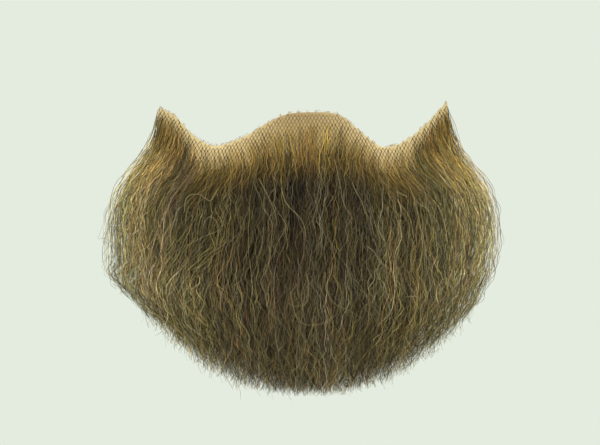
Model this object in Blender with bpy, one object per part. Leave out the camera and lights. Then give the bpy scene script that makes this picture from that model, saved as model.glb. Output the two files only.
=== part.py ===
"""A false chin beard: locks of wavy hair on a thin lace foundation that is shaped to the chin.

Metres, +Z up. The origin is on the inner face of the lace, at the foremost point of the chin.
The front faces -Y, and the wearer's chin comes in from +Y.
"""

import math
from collections import namedtuple

import bmesh
import bpy
import numpy as np

# The chin that the foundation is shaped to, seen from above as half an ellipse.
CHIN_HALF_WIDTH = 0.052
CHIN_WRAP_DEPTH = 0.043
LIP_HOLLOW_DEPTH = 0.006
LIP_HOLLOW_HEIGHT = 0.018

# The lace foundation.
LACE_WALL = 0.001
LACE_HALF_WIDTH = 0.046
LACE_POINT_HEIGHT = 0.0275
LACE_HEM_DROP = 0.022
LACE_HEM_REACH = 0.025

# The hair on it. The drop is measured from the origin down to the lowest tips.
HAIR_GAP = 0.0003
HAIR_DROP = 0.0475
HAIR_DEPTH = 0.0165
HAIR_BOTTOM_HALF_WIDTH = 0.0410
HAIR_BOTTOM_RISE = 0.0205
HAIR_MARGIN = 0.0075
TIP_SETBACK = 0.001
TIP_WRAP = 0.015
SIDE_HAIR_START = 0.030
UNDER_HAIR_DROP = 0.026

# The locks.
LOCK_WIDTH = 0.0092
LOCK_THICKNESS = 0.0034
LOCK_WAVE = 0.0011
LOCK_WAVE_LENGTH = 0.013
LOCK_CLEARANCE = 0.0005

# How finely the surfaces are divided.
LACE_COLUMNS = 34
CORE_COLUMNS = 20
UNDER_COLUMNS = 12
LOCK_RINGS = 6
LOCK_SIDES = 6
KEPT_TRIANGLES = 0.65
SMALL_STEP = 1e-4

# The top edge of the lace, from the wearer's right point to the left one. Across is a share of
# the half width, height a share of the points' height.
TopEdge = namedtuple("TopEdge", "across height")
TOP_EDGE = (
    TopEdge(-1.00, 0.95),
    TopEdge(-0.88, 0.86),
    TopEdge(-0.76, 0.68),
    TopEdge(-0.60, 0.565),
    TopEdge(-0.42, 0.64),
    TopEdge(-0.22, 0.80),
    TopEdge(-0.08, 0.875),
    TopEdge(0.12, 0.885),
    TopEdge(0.26, 0.85),
    TopEdge(0.42, 0.67),
    TopEdge(0.56, 0.55),
    TopEdge(0.68, 0.60),
    TopEdge(0.86, 0.80),
    TopEdge(1.00, 1.01),
)

# Sections of the foundation from its hem, at level -1, past the foremost line of the chin, at 0,
# to its top edge, at 1. Drop is a share of the hem's drop, setback of its reach, half width of
# the lace's and wrap of the chin's depth. Above the chin the top edge sets the height instead.
LaceRow = namedtuple("LaceRow", "level drop setback half_width wrap")
LACE_ROWS = (
    LaceRow(-1.00, 1.00, 0.96, 0.62, 0.16),
    LaceRow(-0.75, 0.93, 0.56, 0.77, 0.42),
    LaceRow(-0.50, 0.68, 0.18, 0.92, 0.85),
    LaceRow(-0.25, 0.32, 0.04, 0.99, 1.00),
    LaceRow(0.00, 0.00, 0.00, 1.00, 1.00),
    LaceRow(0.30, 0.00, 0.00, 0.955, 1.00),
    LaceRow(0.55, 0.00, 0.00, 0.87, 1.00),
    LaceRow(1.00, 0.00, 0.00, 0.83, 1.00),
)
LACE_LEVELS = (-1.0, -0.87, -0.74, -0.62, -0.5, -0.36, -0.18, 0.0, 0.2, 0.4, 0.6, 0.8, 1.0)

# How much lace shows above the hair, as a share of the margin.
Hairline = namedtuple("Hairline", "across margin")
HAIRLINE = (
    Hairline(-1.00, 0.30),
    Hairline(-0.80, 0.45),
    Hairline(-0.60, 0.70),
    Hairline(-0.30, 0.95),
    Hairline(0.00, 1.30),
    Hairline(0.30, 0.95),
    Hairline(0.60, 0.70),
    Hairline(0.80, 0.45),
    Hairline(1.00, 0.30),
)

# How far the hair stands off the lace on its way down, as a share of its depth. Fall is 0 at the
# hairline, 0.5 where the hair leaves the jaw and 1 at the tips.
Body = namedtuple("Body", "fall depth")
FRONT_BODY = (
    Body(0.00, 0.05),
    Body(0.12, 0.28),
    Body(0.30, 0.52),
    Body(0.42, 0.72),
    Body(0.50, 0.90),
    Body(0.60, 0.99),
    Body(0.72, 0.90),
    Body(0.86, 0.55),
    Body(1.00, 0.14),
    Body(1.20, 0.02),
)

# How much less the hair stands off at the sides than in the middle.
SIDE_THINNING = 0.4

# Where the front hair leaves the lace, the shape of its lower edge, and how far to one side the
# lowest tips lie.
JAW_LEVEL = -0.5
JAW_FALL = 0.5
BOTTOM_ROUNDNESS = 2.3
LOWEST_ACROSS = 0.07

# Rows of locks, from the outermost to the innermost. Depth is the share of the hair's depth at
# which they lie, and stagger the shift of their roots, as a share of their spacing.
LockRow = namedtuple("LockRow", "count first_fall last_fall depth reach stagger")
FRONT_LOCKS = (
    LockRow(12, 0.05, 0.68, 0.93, 0.95, 0.0),
    LockRow(13, 0.20, 0.92, 0.90, 0.97, 0.5),
    LockRow(13, 0.44, 1.01, 0.82, 0.97, 0.0),
    LockRow(9, 0.64, 1.03, 0.50, 0.86, 0.5),
)
UNDER_LOCKS = (
    LockRow(7, 0.04, 0.78, 0.95, 0.84, 0.0),
    LockRow(6, 0.40, 1.04, 0.95, 0.78, 0.5),
)

# The under side of the hair below the chin, from the hem, at fall 0, forward to its tips, at 1.
# Level is where on the lace it hangs from, and drop how far below, as a share of its drop.
UnderRow = namedtuple("UnderRow", "fall level drop")
UNDER_BODY = (
    UnderRow(0.00, -0.97, 0.06),
    UnderRow(0.20, -0.88, 0.30),
    UnderRow(0.45, -0.77, 0.60),
    UnderRow(0.70, -0.66, 0.86),
    UnderRow(1.00, -0.52, 1.04),
    UnderRow(1.20, -0.46, 1.12),
)
UNDER_REACH = 0.90
UNDER_FALLS = (0.0, 0.2, 0.4, 0.6, 0.8)
UNDER_TIP_SHARE = 0.84

# The solid core under the locks: its share of the hair's depth, where its rows lie, how far it
# reaches across, and how far it runs past the surfaces that it is cut to.
CORE_DEPTH = 0.74
CORE_FALLS = (0.0, 0.08, 0.17, 0.27, 0.38, 0.5, 0.62, 0.76, 0.9)
CORE_REACH = 0.985
CORE_OVERLAP = 0.0012

# A lock's width along its length, how deep its root starts and where it has risen to its depth.
Taper = namedtuple("Taper", "share size")
LOCK_TAPER = (
    Taper(0.00, 0.45),
    Taper(0.25, 0.95),
    Taper(0.50, 1.00),
    Taper(0.80, 0.68),
    Taper(1.00, 0.12),
)
LOCK_FLATNESS = 0.6
LOCK_ROOT_DEPTH = 0.55
LOCK_ROOT_SHARE = 0.35

# The spread between one lock and the next.
LOCK_WIDTH_SPREAD = 0.14
LOCK_THICKNESS_SPREAD = 0.12
LOCK_DRIFT = 0.04
LOCK_SHORTENING = 0.05
FRONT_SEED = 7
UNDER_SEED = 11

# Cutters.
CUTTER_REACH = 0.2
SEAT_CUT = 0.004
PARTING_SHARES = (-0.35, 1.25)
PARTING_REACH = 1.06

# Which way the locks under the chin face in the middle, and how much they turn aside at the ends.
UNDER_FACING = (0.0, 0.8, -0.6)
UNDER_SIDE_FACING = 0.6

# Finishes.
Finish = namedtuple("Finish", "colour roughness")
LACE = Finish((0.74, 0.55, 0.44), 0.85)
CHIN_HAIR = Finish((0.050, 0.038, 0.020), 0.6)
SIDE_HAIR = Finish((0.095, 0.070, 0.032), 0.6)
UNDER_HAIR = Finish((0.040, 0.031, 0.018), 0.6)
SHARP_EDGE = math.radians(50)


def smooth(at, places, values):
    """Cubic curve through the values, with no overshoot past level stretches."""
    places = np.asarray(places, float)
    values = np.asarray(values, float)
    steps = np.diff(places)
    slopes = np.diff(values) / steps
    inner = np.where(slopes[1:] * slopes[:-1] > 0, (slopes[1:] + slopes[:-1]) / 2, 0.0)
    limit = 3 * np.minimum(abs(slopes[1:]), abs(slopes[:-1]))
    inner = np.clip(inner, -limit, limit)
    tangents = np.concatenate([slopes[:1], inner, slopes[-1:]])
    at = np.clip(np.asarray(at, float), places[0], places[-1])
    k = np.clip(np.searchsorted(places, at, side="right") - 1, 0, len(steps) - 1)
    width = steps[k]
    t = (at - places[k]) / width
    rise = values[k + 1] - values[k]
    leaving = tangents[k] * width
    arriving = tangents[k + 1] * width
    square = 3 * rise - 2 * leaving - arriving
    cube = leaving + arriving - 2 * rise
    return values[k] + leaving * t + square * t**2 + cube * t**3


def column(rows, name):
    return [getattr(row, name) for row in rows]


def unit(vectors):
    return vectors / np.linalg.norm(vectors, axis=-1, keepdims=True)


def top_height(across):
    shares = smooth(across, column(TOP_EDGE, "across"), column(TOP_EDGE, "height"))
    return LACE_POINT_HEIGHT * shares


def lace_point(across, level):
    """Points of the lace's inner face. Across runs from -1 to 1, level from the hem to the top."""
    across, level = np.broadcast_arrays(across, level)
    levels = column(LACE_ROWS, "level")
    above = np.maximum(level, 0) * top_height(across)
    below = LACE_HEM_DROP * smooth(level, levels, column(LACE_ROWS, "drop"))
    hollow_share = np.clip(above / LIP_HOLLOW_HEIGHT, 0, 1)
    hollow = LIP_HOLLOW_DEPTH * hollow_share**2 * (3 - 2 * hollow_share)
    setback = hollow + LACE_HEM_REACH * smooth(level, levels, column(LACE_ROWS, "setback"))
    wrap = CHIN_WRAP_DEPTH * smooth(level, levels, column(LACE_ROWS, "wrap"))
    x = across * LACE_HALF_WIDTH * smooth(level, levels, column(LACE_ROWS, "half_width"))
    y = setback + wrap * (1 - np.sqrt(1 - (x / CHIN_HALF_WIDTH) ** 2))
    return np.stack([x, y, above - below], axis=-1)


def lace_normal(across, level):
    along = lace_point(across + SMALL_STEP, level) - lace_point(across - SMALL_STEP, level)
    up_to = np.minimum(level + SMALL_STEP, 1)
    down_to = np.maximum(level - SMALL_STEP, -1)
    up = lace_point(across, up_to) - lace_point(across, down_to)
    return unit(np.cross(along, up))


def off_lace(across, level, distance):
    """Points at this distance outside the lace's inner face."""
    across, level = np.broadcast_arrays(across, level)
    return lace_point(across, level) + distance * lace_normal(across, level)


def hairline_level(across):
    margin = HAIR_MARGIN * smooth(across, column(HAIRLINE, "across"), column(HAIRLINE, "margin"))
    return 1 - margin / top_height(across)


def bottom_point(across):
    """The line of the front hair's lowest tips."""
    x = HAIR_BOTTOM_HALF_WIDTH * across
    y = TIP_SETBACK + TIP_WRAP * across**2
    z = HAIR_BOTTOM_RISE * abs(across - LOWEST_ACROSS) ** BOTTOM_ROUNDNESS - HAIR_DROP
    return np.stack([x, y, z], axis=-1)


def off_jaw(across):
    """Where the front hair leaves the lace, at the edge of the jaw."""
    return off_lace(across, np.full_like(across, JAW_LEVEL), LACE_WALL + HAIR_GAP)


def parting(across, share):
    """The straight sheet between the front hair and the hair under the chin, from jaw to tips."""
    across, share = np.broadcast_arrays(across, share)
    start = off_jaw(across)
    return start + share[..., None] * (bottom_point(across) - start)


def back_of_hair(across, fall, overlap=0.0):
    """The inner side of the front hair: along the lace to the jaw, then down to the tips."""
    across, fall = np.broadcast_arrays(across, fall)
    share = np.clip(fall / JAW_FALL, 0, 1)
    level = hairline_level(across) + share * (JAW_LEVEL - hairline_level(across))
    on_lace = off_lace(across, level, LACE_WALL + HAIR_GAP - overlap)
    hanging = np.maximum(fall - JAW_FALL, 0) / (1 - JAW_FALL)
    off_parting = parting(across, hanging) + np.array([0, overlap, 0])
    return np.where(fall[..., None] <= JAW_FALL, on_lace, off_parting)


def outward(across):
    """Level direction away from the chin, across the hair."""
    slope = lace_normal(across, np.zeros_like(across))
    slope[..., 2] = 0
    return unit(slope)


def front_facing(across, fall):
    return outward(across + 0 * fall)


def hair_thickness(across, fall):
    body = HAIR_DEPTH * smooth(fall, column(FRONT_BODY, "fall"), column(FRONT_BODY, "depth"))
    return body * (1 - SIDE_THINNING * across**2)


def front_of_hair(across, fall, depth):
    """Points at this share of the front hair's depth."""
    across, fall = np.broadcast_arrays(across, fall)
    least = LOCK_THICKNESS / 2 + LOCK_CLEARANCE
    thickness = hair_thickness(across, fall) * depth
    hanging = np.clip((fall - JAW_FALL) / (1 - JAW_FALL), 0, 1)
    thickness = np.maximum(thickness, least * (1 - hanging))
    return back_of_hair(across, fall) + thickness[..., None] * outward(across)


def under_facing(across, fall):
    """Direction away from the hair under the chin: back, down and, towards the ends, aside."""
    across, fall = np.broadcast_arrays(across, fall)
    aside = np.array([UNDER_SIDE_FACING, 0, 0]) * across[..., None]
    return unit(np.array(UNDER_FACING) + aside)


def under_side(across, fall, depth=1.0):
    """The under side of the hair below the chin, at this share of its drop."""
    across, fall = np.broadcast_arrays(across, fall)
    falls = column(UNDER_BODY, "fall")
    level = smooth(fall, falls, column(UNDER_BODY, "level"))
    drop = UNDER_HAIR_DROP * smooth(fall, falls, column(UNDER_BODY, "drop"))
    thinning = 1 - SIDE_THINNING * across**2
    point = off_lace(across, level, LACE_WALL + HAIR_GAP)
    least = LOCK_THICKNESS / 2 + LOCK_CLEARANCE
    point[..., 2] -= np.maximum(depth * drop * thinning, least)
    return point


def material(name, finish):
    made = bpy.data.materials.new(name)
    made.use_nodes = True
    shader = made.node_tree.nodes["Principled BSDF"]
    shader.inputs["Base Color"].default_value = (*finish.colour, 1)
    shader.inputs["Roughness"].default_value = finish.roughness
    shader.inputs["Metallic"].default_value = 0
    made.diffuse_color = (*finish.colour, 1)
    return made


def add_object(name, points, faces, finish=None):
    mesh = bpy.data.meshes.new(name)
    mesh.from_pydata([tuple(point) for point in points], [], faces)
    body = bmesh.new()
    body.from_mesh(mesh)
    bmesh.ops.recalc_face_normals(body, faces=body.faces)
    bmesh.ops.triangulate(body, faces=body.faces)
    body.to_mesh(mesh)
    body.free()
    made = bpy.data.objects.new(name, mesh)
    bpy.context.scene.collection.objects.link(made)
    if finish:
        mesh.materials.append(finish)
        mesh.shade_smooth()
    else:
        made.hide_render = True
        made.display_type = "WIRE"
    return made


def closed_sheets(name, near, far, finish=None):
    """A solid between two grids of points that match."""
    rows, columns = near.shape[:2]
    count = rows * columns
    points = np.concatenate([near.reshape(-1, 3), far.reshape(-1, 3)])
    index = np.arange(count).reshape(rows, columns)
    faces = []
    for i in range(rows - 1):
        for j in range(columns - 1):
            quad = [index[i, j], index[i, j + 1], index[i + 1, j + 1], index[i + 1, j]]
            faces.append([int(corner) for corner in quad])
            faces.append([int(corner) + count for corner in reversed(quad)])
    rim = [*index[0, :], *index[1:, -1], *index[-1, -2::-1], *index[-2:0:-1, 0]]
    for k, corner in enumerate(rim):
        after = rim[(k + 1) % len(rim)]
        faces.append([int(corner), int(corner) + count, int(after) + count, int(after)])
    return add_object(name, points, faces, finish)


def lock(name, path, facing, width, thickness):
    """A flat tapered lock along a path, with its broad side in the facing direction."""
    tangents = unit(np.gradient(path, axis=0))
    sideways = unit(np.cross(tangents, facing))
    out = unit(np.cross(sideways, tangents))
    share = np.linspace(0, 1, len(path))
    taper = np.interp(share, column(LOCK_TAPER, "share"), column(LOCK_TAPER, "size"))
    turn = 2 * math.pi * np.arange(LOCK_SIDES) / LOCK_SIDES
    wide = (width / 2 * taper)[:, None] * np.cos(turn)
    deep = (thickness / 2 * taper**LOCK_FLATNESS)[:, None] * np.sin(turn)
    rings = path[:, None] + wide[..., None] * sideways[:, None] + deep[..., None] * out[:, None]
    faces = [list(range(LOCK_SIDES))]
    faces.append([(len(path) - 1) * LOCK_SIDES + k for k in range(LOCK_SIDES)])
    for i in range(len(path) - 1):
        for k in range(LOCK_SIDES):
            after = (k + 1) % LOCK_SIDES
            near = i * LOCK_SIDES
            far = near + LOCK_SIDES
            faces.append([near + k, near + after, far + after, far + k])
    return add_object(name, rings.reshape(-1, 3), faces)


def lock_path(sheet, across, fall, depth):
    """A path that rises out of the hair below it over the first stretch."""
    share = np.linspace(0, 1, len(fall))
    rise = LOCK_ROOT_DEPTH + (1 - LOCK_ROOT_DEPTH) * np.minimum(share / LOCK_ROOT_SHARE, 1)
    return sheet(across, fall, depth * rise)


def lock_places(count, stagger):
    """Even places from -1 to 1, moved by the stagger's share of half a spacing."""
    places = (2 * np.arange(count) + 0.5 + stagger) / count - 1
    return np.clip(places, -1, 1)


def locks(name, rows, sheet, facing, seed):
    """A collection of the locks in these rows, on sheet(across, fall, depth)."""
    chance = np.random.default_rng(seed)
    group = bpy.data.collections.new(name)
    share = np.linspace(0, 1, LOCK_RINGS)
    for number, row in enumerate(rows):
        places = row.reach * lock_places(row.count, row.stagger)
        for k, start in enumerate(places):
            last = row.last_fall - chance.uniform(0, LOCK_SHORTENING)
            fall = row.first_fall + (last - row.first_fall) * share
            straight = lock_path(sheet, start + 0 * share, fall, row.depth)
            length = np.linalg.norm(np.diff(straight, axis=0), axis=1).sum()
            turns = length * share / LOCK_WAVE_LENGTH + chance.uniform(0, 1)
            wave = LOCK_WAVE / LACE_HALF_WIDTH * share * np.sin(2 * math.pi * turns)
            drift = chance.uniform(-LOCK_DRIFT, LOCK_DRIFT) * share**2
            across = np.clip(start + drift + wave, -1, 1)
            path = lock_path(sheet, across, fall, row.depth)
            width = LOCK_WIDTH * (1 + LOCK_WIDTH_SPREAD * chance.uniform(-1, 1))
            thickness = LOCK_THICKNESS * (1 + LOCK_THICKNESS_SPREAD * chance.uniform(-1, 1))
            made = lock(f"{name}_{number}_{k}", path, facing(across, fall), width, thickness)
            bpy.context.scene.collection.objects.unlink(made)
            group.objects.link(made)
    return group


def boolean(target, operation, cutter):
    made = target.modifiers.new(operation.lower(), "BOOLEAN")
    made.operation = operation
    made.solver = "MANIFOLD"
    if isinstance(cutter, bpy.types.Collection):
        made.operand_type = "COLLECTION"
        made.collection = cutter
    else:
        made.object = cutter


def thin_out(target):
    """Fewer triangles on the joined locks, before anything is cut to fit."""
    made = target.modifiers.new("thin_out", "DECIMATE")
    made.ratio = KEPT_TRIANGLES


def islands(body):
    """The connected sets of faces in a bmesh."""
    waiting = set(body.faces)
    found = []
    while waiting:
        fresh = [waiting.pop()]
        island = list(fresh)
        while fresh:
            face = fresh.pop()
            beside = {other for edge in face.edges for other in edge.link_faces} & waiting
            waiting -= beside
            island.extend(beside)
            fresh.extend(beside)
        found.append(island)
    return found


def volume_of(faces):
    total = 0.0
    for face in faces:
        first, *others = [vertex.co for vertex in face.verts]
        for near, far in zip(others, others[1:]):
            total += first.dot(near.cross(far)) / 6
    return total


def settle(target):
    """Applies the modifiers and keeps the largest outer surface, without voids and loose scraps."""
    bpy.context.view_layer.update()
    graph = bpy.context.evaluated_depsgraph_get()
    mesh = bpy.data.meshes.new_from_object(target.evaluated_get(graph))
    target.modifiers.clear()
    body = bmesh.new()
    body.from_mesh(mesh)
    kept = max(islands(body), key=volume_of)
    spare = set(body.faces) - set(kept)
    bmesh.ops.delete(body, geom=list(spare), context="FACES")
    loose = [vertex for vertex in body.verts if not vertex.link_faces]
    bmesh.ops.delete(body, geom=loose, context="VERTS")
    bmesh.ops.triangulate(body, faces=body.faces)
    body.to_mesh(mesh)
    body.free()
    target.data = mesh


def grid(columns, rows, reach=1.0):
    across = np.linspace(-reach, reach, columns + 1)
    return np.meshgrid(across, rows)


def lace_foundation():
    across, level = grid(LACE_COLUMNS, LACE_LEVELS)
    inner = lace_point(across, level)
    outer = off_lace(across, level, LACE_WALL)
    closed_sheets("lace_foundation", inner, outer, material("lace", LACE))


def seat_cutter():
    """The room that the lace and its gap take, with the same facets as the lace."""
    across, level = grid(LACE_COLUMNS, LACE_LEVELS)
    inner = off_lace(across, level, -SEAT_CUT)
    outer = off_lace(across, level, LACE_WALL + HAIR_GAP)
    return closed_sheets("seat_cutter", inner, outer)


def under_zone(name, gap):
    """Everything behind the parting."""
    across, share = grid(CORE_COLUMNS, PARTING_SHARES, PARTING_REACH)
    near = parting(across, share) + np.array([0, gap, 0])
    far = near + np.array([0, CUTTER_REACH, 0])
    return closed_sheets(name, near, far)


def slab(name, low, high):
    """A tall block between two places across the beard."""
    x, z = np.meshgrid([low, high], [-CUTTER_REACH, CUTTER_REACH])
    near = np.stack([x, 0 * x - CUTTER_REACH, z], axis=-1)
    far = near + np.array([0, 2 * CUTTER_REACH, 0])
    return closed_sheets(name, near, far)


def front_hair(seat):
    """The hair knotted on the front of the chin and along its sides, as three pieces."""
    across, fall = grid(CORE_COLUMNS, CORE_FALLS, CORE_REACH)
    back = back_of_hair(across, fall, CORE_OVERLAP)
    front = front_of_hair(across, fall, CORE_DEPTH)
    whole = closed_sheets("front_core", back, front)
    boolean(whole, "UNION", locks("front_locks", FRONT_LOCKS, front_of_hair, front_facing, FRONT_SEED))
    thin_out(whole)
    settle(whole)
    boolean(whole, "DIFFERENCE", seat)
    boolean(whole, "DIFFERENCE", under_zone("under_zone", 0.0))
    settle(whole)
    half_gap = HAIR_GAP / 2
    pieces = (
        ("chin_hair", -SIDE_HAIR_START + half_gap, SIDE_HAIR_START - half_gap, CHIN_HAIR),
        ("side_hair_left", SIDE_HAIR_START + half_gap, CUTTER_REACH, SIDE_HAIR),
        ("side_hair_right", -CUTTER_REACH, -SIDE_HAIR_START - half_gap, SIDE_HAIR),
    )
    for name, low, high, finish in pieces:
        piece = bpy.data.objects.new(name, whole.data.copy())
        bpy.context.scene.collection.objects.link(piece)
        boolean(piece, "INTERSECT", slab(f"{name}_slab", low, high))
        finish_hair(piece, finish)


def under_hair(seat):
    across, fall = grid(UNDER_COLUMNS, UNDER_FALLS, UNDER_REACH)
    levels = smooth(fall, column(UNDER_BODY, "fall"), column(UNDER_BODY, "level"))
    top = off_lace(across, levels, LACE_WALL + HAIR_GAP - CORE_OVERLAP)
    bottom = under_side(across, fall, CORE_DEPTH)
    past_parting = np.array([0, -CORE_OVERLAP, 0])
    top = np.concatenate([top, parting(across[:1], 0.0) + past_parting])
    bottom = np.concatenate([bottom, parting(across[:1], UNDER_TIP_SHARE) + past_parting])
    core = closed_sheets("under_chin_hair", top, bottom)
    boolean(core, "UNION", locks("under_locks", UNDER_LOCKS, under_side, under_facing, UNDER_SEED))
    thin_out(core)
    settle(core)
    boolean(core, "DIFFERENCE", seat)
    boolean(core, "INTERSECT", under_zone("under_zone_clear", HAIR_GAP))
    finish_hair(core, UNDER_HAIR)


def finish_hair(piece, finish):
    settle(piece)
    piece.data.materials.clear()
    piece.data.materials.append(material(piece.name, finish))
    piece.data.shade_smooth()
    piece.data.set_sharp_from_angle(angle=SHARP_EDGE)
    piece.hide_render = False
    piece.display_type = "TEXTURED"


def main():
    for old in list(bpy.data.objects):
        bpy.data.objects.remove(old)
    lace_foundation()
    seat = seat_cutter()
    front_hair(seat)
    under_hair(seat)


main()
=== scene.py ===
"""The looks of a false chin beard: wavy hairs knotted one by one into a fine net."""

import math
from collections import namedtuple

import bpy
import numpy as np
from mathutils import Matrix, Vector


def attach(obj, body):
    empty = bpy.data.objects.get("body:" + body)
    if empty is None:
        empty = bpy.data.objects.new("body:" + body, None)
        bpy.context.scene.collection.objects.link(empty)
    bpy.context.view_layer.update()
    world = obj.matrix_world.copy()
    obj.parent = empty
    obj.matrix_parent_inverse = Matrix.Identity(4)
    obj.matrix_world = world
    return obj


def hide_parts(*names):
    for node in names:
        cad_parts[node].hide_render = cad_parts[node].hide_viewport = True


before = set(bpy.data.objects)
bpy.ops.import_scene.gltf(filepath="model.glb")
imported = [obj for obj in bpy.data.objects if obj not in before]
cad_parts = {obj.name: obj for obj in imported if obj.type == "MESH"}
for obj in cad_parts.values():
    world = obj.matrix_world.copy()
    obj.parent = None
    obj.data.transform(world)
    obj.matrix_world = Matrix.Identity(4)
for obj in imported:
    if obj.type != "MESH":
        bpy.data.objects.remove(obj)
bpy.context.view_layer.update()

BODY = "root"
SEED = 20

# The shape of the chin and of the hair on it, as the solids have it, in metres.
CHIN_HALF_WIDTH = 0.052
CHIN_WRAP_DEPTH = 0.043
LIP_HOLLOW_DEPTH = 0.006
LIP_HOLLOW_HEIGHT = 0.018
LACE_WALL = 0.001
LACE_HALF_WIDTH = 0.046
LACE_POINT_HEIGHT = 0.0275
LACE_HEM_DROP = 0.022
LACE_HEM_REACH = 0.025
HAIR_DROP = 0.0475
HAIR_DEPTH = 0.0165
HAIR_BOTTOM_HALF_WIDTH = 0.0410
HAIR_BOTTOM_RISE = 0.0205
HAIR_MARGIN = 0.0075
TIP_SETBACK = 0.001
TIP_WRAP = 0.015
SIDE_HAIR_START = 0.030
UNDER_HAIR_DROP = 0.026
SIDE_THINNING = 0.4
JAW_LEVEL = -0.5
JAW_FALL = 0.5
BOTTOM_ROUNDNESS = 2.3
LOWEST_ACROSS = 0.07

TopEdge = namedtuple("TopEdge", "across height")
TOP_EDGE = (
    TopEdge(-1.00, 0.95),
    TopEdge(-0.88, 0.86),
    TopEdge(-0.76, 0.68),
    TopEdge(-0.60, 0.565),
    TopEdge(-0.42, 0.64),
    TopEdge(-0.22, 0.80),
    TopEdge(-0.08, 0.875),
    TopEdge(0.12, 0.885),
    TopEdge(0.26, 0.85),
    TopEdge(0.42, 0.67),
    TopEdge(0.56, 0.55),
    TopEdge(0.68, 0.60),
    TopEdge(0.86, 0.80),
    TopEdge(1.00, 1.01),
)
LaceRow = namedtuple("LaceRow", "level drop setback half_width wrap")
LACE_ROWS = (
    LaceRow(-1.00, 1.00, 0.96, 0.62, 0.16),
    LaceRow(-0.75, 0.93, 0.56, 0.77, 0.42),
    LaceRow(-0.50, 0.68, 0.18, 0.92, 0.85),
    LaceRow(-0.25, 0.32, 0.04, 0.99, 1.00),
    LaceRow(0.00, 0.00, 0.00, 1.00, 1.00),
    LaceRow(0.30, 0.00, 0.00, 0.955, 1.00),
    LaceRow(0.55, 0.00, 0.00, 0.87, 1.00),
    LaceRow(1.00, 0.00, 0.00, 0.83, 1.00),
)
Hairline = namedtuple("Hairline", "across margin")
HAIRLINE = (
    Hairline(-1.00, 0.30),
    Hairline(-0.80, 0.45),
    Hairline(-0.60, 0.70),
    Hairline(-0.30, 0.95),
    Hairline(0.00, 1.30),
    Hairline(0.30, 0.95),
    Hairline(0.60, 0.70),
    Hairline(0.80, 0.45),
    Hairline(1.00, 0.30),
)
Body = namedtuple("Body", "fall depth")
FRONT_BODY = (
    Body(0.00, 0.05),
    Body(0.12, 0.28),
    Body(0.30, 0.52),
    Body(0.42, 0.72),
    Body(0.50, 0.90),
    Body(0.60, 0.99),
    Body(0.72, 0.90),
    Body(0.86, 0.55),
    Body(1.00, 0.14),
    Body(1.20, 0.02),
)
UnderRow = namedtuple("UnderRow", "level drop")
UNDER_BODY = (
    UnderRow(-1.00, 0.04),
    UnderRow(-0.88, 0.30),
    UnderRow(-0.77, 0.60),
    UnderRow(-0.66, 0.86),
    UnderRow(-0.50, 1.04),
)

# The net, in metres: how far it measures over the chin, and its meshes. Off the net is a level.
NET_HALF_ARC = 0.0520
HemArc = namedtuple("HemArc", "arc level")
HEM_ARC = (
    HemArc(0.0000, 0.00),
    HemArc(0.0082, -0.25),
    HemArc(0.0165, -0.50),
    HemArc(0.0275, -0.75),
    HemArc(0.0375, -1.00),
)
NET_PITCH = 0.00125
NET_ROW = 0.00088
NET_JITTER = 0.00007
THREAD_RADIUS = 0.000095
THREAD_SIDES = 3
KNOT_SIZE = (0.00015, 0.00020, 0.00029)
KNOT_COLOUR = (0.135, 0.080, 0.030)
FILM_COLUMNS = 150
FILM_ROWS = 70
SMALL_STEP = 1e-4
OFF_NET = -2.0

# The knots: depth as a share of the wall, ranges of size and tone, corners, faces and their map.
KNOT_DEPTH = 0.55
KNOT_SIZES = (0.7, 1.25)
KNOT_TONES = (0.6, 1.5)
KNOT_CORNERS = ((1, 0, 0), (0, 1, 0), (-1, 0, 0), (0, -1, 0), (0, 0, 1), (0, 0, -1))
KNOT_FACES = (
    (0, 1, 4),
    (1, 2, 4),
    (2, 3, 4),
    (3, 0, 4),
    (1, 0, 5),
    (2, 1, 5),
    (3, 2, 5),
    (0, 3, 5),
)
KNOT_MAP = ((0.1, 0.1), (0.9, 0.1), (0.5, 0.9))

# The map of many tubes: how much of its cell each fills, and how tall a cell is for its width.
CELL_FILL = 0.9
CELL_TALLNESS = 4

# The loops of thread on the net's cut edge, in metres, with their spans as shares across.
EDGE_LOOPS = 150
LOOP_POINTS = 7
LOOP_RADIUS = 0.00006
LOOP_HEIGHTS = (0.0001, 0.0007)
LOOP_SPANS = (0.006, 0.026)
LOOP_LEAN = 0.4

# Groups of hairs. Low and high are the falls between which they are rooted, count is how many
# there are, points how many points each has, and short and long how far down they reach, under
# the chin as shares of how low the hair hangs there.
Group = namedtuple("Group", "name node slot low high count points short long sides radius")
GROUPS = (
    Group("chin_strands_upper", "chin_hair", "dark_hair", -0.40, 0.12, 2500, 36, 0.35, 1.15, 2, 6.0e-5),
    Group("chin_strands_middle", "chin_hair", "dark_hair", 0.12, 0.30, 2700, 33, 0.35, 1.10, 2, 6.0e-5),
    Group("chin_strands_lower", "chin_hair", "dark_hair", 0.30, 0.50, 3150, 27, 0.35, 0.90, 2, 6.0e-5),
    Group("chin_strands_tips", "chin_hair", "dark_hair", 0.38, 0.50, 1900, 14, 0.45, 0.70, 2, 6.0e-5),
    Group("chin_strands_outer", "chin_hair", "dark_hair", -0.02, 0.45, 450, 32, 0.30, 0.80, 3, 4.8e-5),
    Group(
        "side_strands_left", "side_hair_left", "golden_hair",
        -0.40, 0.50, 1000, 36, 0.35, 1.10, 2, 6.0e-5,
    ),
    Group(
        "side_strands_right", "side_hair_right", "golden_hair",
        -0.40, 0.50, 1000, 36, 0.35, 1.10, 2, 6.0e-5,
    ),
    Group("under_chin_strands", "under_chin_hair", "dark_hair", 0.50, 2.00, 1900, 12, 0.65, 1.05, 2, 6.8e-5),
)

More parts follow.
